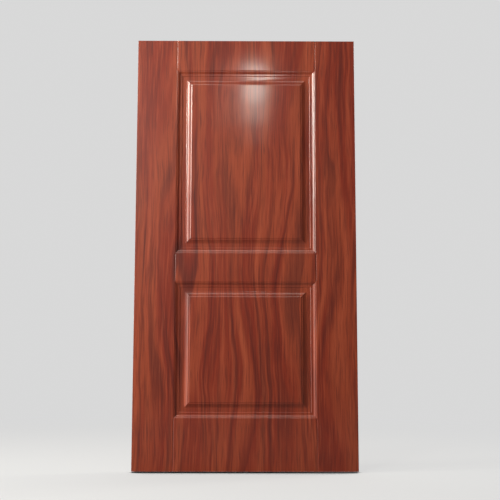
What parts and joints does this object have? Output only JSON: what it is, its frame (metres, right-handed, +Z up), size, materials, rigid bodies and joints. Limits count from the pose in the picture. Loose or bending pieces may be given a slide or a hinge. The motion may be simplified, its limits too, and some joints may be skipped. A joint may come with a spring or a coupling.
{
  "type": "moulded interior door leaf",
  "caption": "Moulded interior door leaf: a tall raised panel over a shorter one in pressed skins with mitred mouldings and embossed joint lines, on a softwood frame.",
  "frame": {"origin": "bottom end of the hinge edge's face, in mid-thickness", "axes": "+X from the hinge edge to the lock edge, -Y out of the front face, +Z up the door"},
  "size_m": [1.03, 0.04, 2.015],
  "materials": {
    "foiled_skin": "gloss",
    "edge_band": "gloss",
    "softwood": "matte",
    "paper_core": "matte"
  },
  "bodies": {
    "root": {"front_skin": "foiled_skin", "back_skin": "foiled_skin", "hinge_edge_band": "edge_band", "lock_edge_band": "edge_band", "hinge_stile": "softwood", "lock_stile": "softwood", "top_rail": "softwood", "bottom_rail": "softwood", "hinge_side_block": "softwood", "lock_block": "softwood", "lower_panel_core": "paper_core", "upper_panel_core": "paper_core", "bottom_rail_core": "paper_core", "lock_rail_core": "paper_core", "top_rail_core": "paper_core", "hinge_side_lower_core": "paper_core", "hinge_side_upper_core": "paper_core", "lock_side_lower_core": "paper_core", "lock_side_upper_core": "paper_core"}
  },
  "joints": []
}
